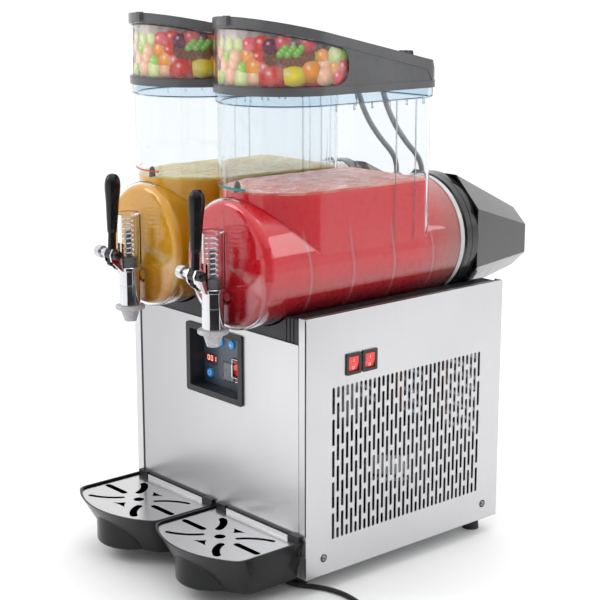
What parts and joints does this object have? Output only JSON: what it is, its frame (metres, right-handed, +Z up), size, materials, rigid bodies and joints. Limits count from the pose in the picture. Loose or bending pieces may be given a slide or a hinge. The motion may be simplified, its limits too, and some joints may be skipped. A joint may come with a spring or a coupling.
{
  "type": "slush machine",
  "caption": "Counter-top frozen drink dispenser with clear bowls over cooling drums, turning augers, lever taps, lit lids, vented steel cabinet and pull-out drip trays.",
  "frame": {"origin": "bottom centre of the machine without its free power cord, on the worktop plane under the feet", "axes": "+Z up, -Y towards the customer and the taps, +X towards the side panel that carries the power switches"},
  "size_m": [0.5482, 0.673, 0.796],
  "materials": {
    "base_pan": "galvanised",
    "feet": "matt",
    "front_panel": "satin",
    "side_panel_left": "satin",
    "side_panel_right": "satin",
    "back_panel": "satin",
    "top_deck": "fine texture",
    "control_bezel": "fine texture",
    "control_face": "satin",
    "switch_housings": "satin",
    "switch_boot": "clear",
    "compressor": "gloss",
    "condenser": "finned",
    "fan_motor": "satin",
    "refrigerant_lines": "copper",
    "electrical_box": "satin",
    "evaporators": "polished",
    "bowl_seals": "matt",
    "housing_collars": "satin",
    "rear_housings": "fine texture",
    "gear_motors": "cast",
    "tray_brackets": "fine texture",
    "panel_screws": "polished",
    "cable_gland": "satin",
    "power_cord": "satin",
    "cord_coil": "satin",
    "power_plug": "satin",
    "fan_blade": "satin",
    "key_up": "satin",
    "key_down": "satin",
    "key_set": "satin",
    "main_rocker": "translucent",
    "side_rocker_front": "translucent",
    "side_rocker_rear": "translucent",
    "auger_left": "translucent white",
    "bowl_left": "clear",
    "slush_left": "orange iced drink",
    "tap_body_left": "polished",
    "nozzle_left": "translucent white",
    "tap_spring_left": "polished",
    "tap_lever_left": "satin",
    "piston_left": "satin",
    "lid_left": "satin",
    "lid_window_left": "clear",
    "lamp_lead_left": "corrugated",
    "drip_tray_left": "fine texture",
    "drip_grate_left": "polished",
    "auger_right": "translucent white",
    "bowl_right": "clear",
    "slush_right": "red iced drink",
    "tap_body_right": "polished",
    "nozzle_right": "translucent white",
    "tap_spring_right": "polished",
    "tap_lever_right": "satin",
    "piston_right": "satin",
    "lid_right": "satin",
    "lid_window_right": "clear",
    "lamp_lead_right": "corrugated",
    "drip_tray_right": "fine texture",
    "drip_grate_right": "polished"
  },
  "bodies": {
    "cabinet": {"base_pan": "base_pan", "feet": "feet", "front_panel": "front_panel", "side_panel_left": "side_panel_left", "side_panel_right": "side_panel_right", "back_panel": "back_panel", "top_deck": "top_deck", "control_bezel": "control_bezel", "control_face": "control_face", "switch_housings": "switch_housings", "switch_boot": "switch_boot", "compressor": "compressor", "condenser": "condenser", "fan_motor": "fan_motor", "refrigerant_lines": "refrigerant_lines", "electrical_box": "electrical_box", "evaporators": "evaporators", "bowl_seals": "bowl_seals", "housing_collars": "housing_collars", "rear_housings": "rear_housings", "gear_motors": "gear_motors", "tray_brackets": "tray_brackets", "panel_screws": "panel_screws", "cable_gland": "cable_gland", "power_cord": "power_cord", "cord_coil": "cord_coil", "power_plug": "power_plug"},
    "fan": {"fan_blade": "fan_blade"},
    "key_up": {"key_up": "key_up"},
    "key_down": {"key_down": "key_down"},
    "key_set": {"key_set": "key_set"},
    "main_rocker": {"main_rocker": "main_rocker"},
    "side_rocker_front": {"side_rocker_front": "side_rocker_front"},
    "side_rocker_rear": {"side_rocker_rear": "side_rocker_rear"},
    "auger_left": {"auger_left": "auger_left"},
    "bowl_left": {"bowl_left": "bowl_left", "slush_left": "slush_left", "tap_body_left": "tap_body_left", "nozzle_left": "nozzle_left", "tap_spring_left": "tap_spring_left"},
    "lever_left": {"tap_lever_left": "tap_lever_left"},
    "piston_left": {"piston_left": "piston_left"},
    "lid_left": {"lid_left": "lid_left", "lid_window_left": "lid_window_left", "lamp_lead_left": "lamp_lead_left"},
    "tray_left": {"drip_tray_left": "drip_tray_left"},
    "grate_left": {"drip_grate_left": "drip_grate_left"},
    "auger_right": {"auger_right": "auger_right"},
    "bowl_right": {"bowl_right": "bowl_right", "slush_right": "slush_right", "tap_body_right": "tap_body_right", "nozzle_right": "nozzle_right", "tap_spring_right": "tap_spring_right"},
    "lever_right": {"tap_lever_right": "tap_lever_right"},
    "piston_right": {"piston_right": "piston_right"},
    "lid_right": {"lid_right": "lid_right", "lid_window_right": "lid_window_right", "lamp_lead_right": "lamp_lead_right"},
    "tray_right": {"drip_tray_right": "drip_tray_right"},
    "grate_right": {"drip_grate_right": "drip_grate_right"}
  },
  "joints": [
    {"name": "fan_spin", "type": "hinge", "parent": "cabinet", "child": "fan", "pos_m": [-0.092, 0.028, 0.168], "axis": [1, 0, 0], "continuous": true},
    {"name": "key_up_press", "type": "slide", "parent": "cabinet", "child": "key_up", "axis": [0, 1, 0], "range_m": [0, 0.0012], "stiffness_N_per_m": 300, "springref_m": -0.0006},
    {"name": "key_down_press", "type": "slide", "parent": "cabinet", "child": "key_down", "axis": [0, 1, 0], "range_m": [0, 0.0012], "stiffness_N_per_m": 300, "springref_m": -0.0006},
    {"name": "key_set_press", "type": "slide", "parent": "cabinet", "child": "key_set", "axis": [0, 1, 0], "range_m": [0, 0.0012], "stiffness_N_per_m": 300, "springref_m": -0.0006},
    {"name": "main_switch", "type": "hinge", "parent": "cabinet", "child": "main_rocker", "pos_m": [0.024, -0.151, 0.288], "axis": [1, 0, 0], "range_deg": [-14, 0]},
    {"name": "side_switch_front", "type": "hinge", "parent": "cabinet", "child": "side_rocker_front", "pos_m": [0.198, -0.0905, 0.323], "axis": [0, 1, 0], "range_deg": [-14, 0]},
    {"name": "side_switch_rear", "type": "hinge", "parent": "cabinet", "child": "side_rocker_rear", "pos_m": [0.198, -0.0595, 0.323], "axis": [0, 1, 0], "range_deg": [-14, 0]},
    {"name": "auger_left_turn", "type": "hinge", "parent": "cabinet", "child": "auger_left", "pos_m": [-0.098, 0, 0.465], "axis": [0, 1, 0], "continuous": true},
    {"name": "bowl_left_pull_off", "type": "slide", "parent": "cabinet", "child": "bowl_left", "axis": [0, -1, 0], "range_m": [0, 0.32]},
    {"name": "lever_left_pull", "type": "hinge", "parent": "bowl_left", "child": "lever_left", "pos_m": [-0.098, -0.284, 0.458], "axis": [1, 0, 0], "range_deg": [0, 40], "stiffness_Nm_per_rad": 0.8, "springref_deg": -17.19},
    {"name": "piston_left_lift", "type": "slide", "parent": "bowl_left", "child": "piston_left", "axis": [0, 0, 1], "range_m": [0, 0.021], "deforming": ["tap_spring_left"]},
    {"name": "lid_left_lift", "type": "slide", "parent": "bowl_left", "child": "lid_left", "axis": [0, 0, 1], "range_m": [0, 0.12]},
    {"name": "tray_left_pull", "type": "slide", "parent": "cabinet", "child": "tray_left", "axis": [0, -1, 0], "range_m": [0, 0.16]},
    {"name": "grate_left_lift", "type": "slide", "parent": "tray_left", "child": "grate_left", "axis": [0, 0, 1], "range_m": [0, 0.06]},
    {"name": "auger_right_turn", "type": "hinge", "parent": "cabinet", "child": "auger_right", "pos_m": [0.098, 0, 0.465], "axis": [0, 1, 0], "continuous": true},
    {"name": "bowl_right_pull_off", "type": "slide", "parent": "cabinet", "child": "bowl_right", "axis": [0, -1, 0], "range_m": [0, 0.32]},
    {"name": "lever_right_pull", "type": "hinge", "parent": "bowl_right", "child": "lever_right", "pos_m": [0.098, -0.284, 0.458], "axis": [1, 0, 0], "range_deg": [0, 40], "stiffness_Nm_per_rad": 0.8, "springref_deg": -17.19},
    {"name": "piston_right_lift", "type": "slide", "parent": "bowl_right", "child": "piston_right", "axis": [0, 0, 1], "range_m": [0, 0.021], "deforming": ["tap_spring_right"]},
    {"name": "lid_right_lift", "type": "slide", "parent": "bowl_right", "child": "lid_right", "axis": [0, 0, 1], "range_m": [0, 0.12]},
    {"name": "tray_right_pull", "type": "slide", "parent": "cabinet", "child": "tray_right", "axis": [0, -1, 0], "range_m": [0, 0.16]},
    {"name": "grate_right_lift", "type": "slide", "parent": "tray_right", "child": "grate_right", "axis": [0, 0, 1], "range_m": [0, 0.06]}
  ],
  "couplings": [
    {"joint": "piston_left_lift", "follows": "lever_left_pull", "m_per_rad": 0.0299},
    {"joint": "piston_right_lift", "follows": "lever_right_pull", "m_per_rad": 0.0299}
  ]
}
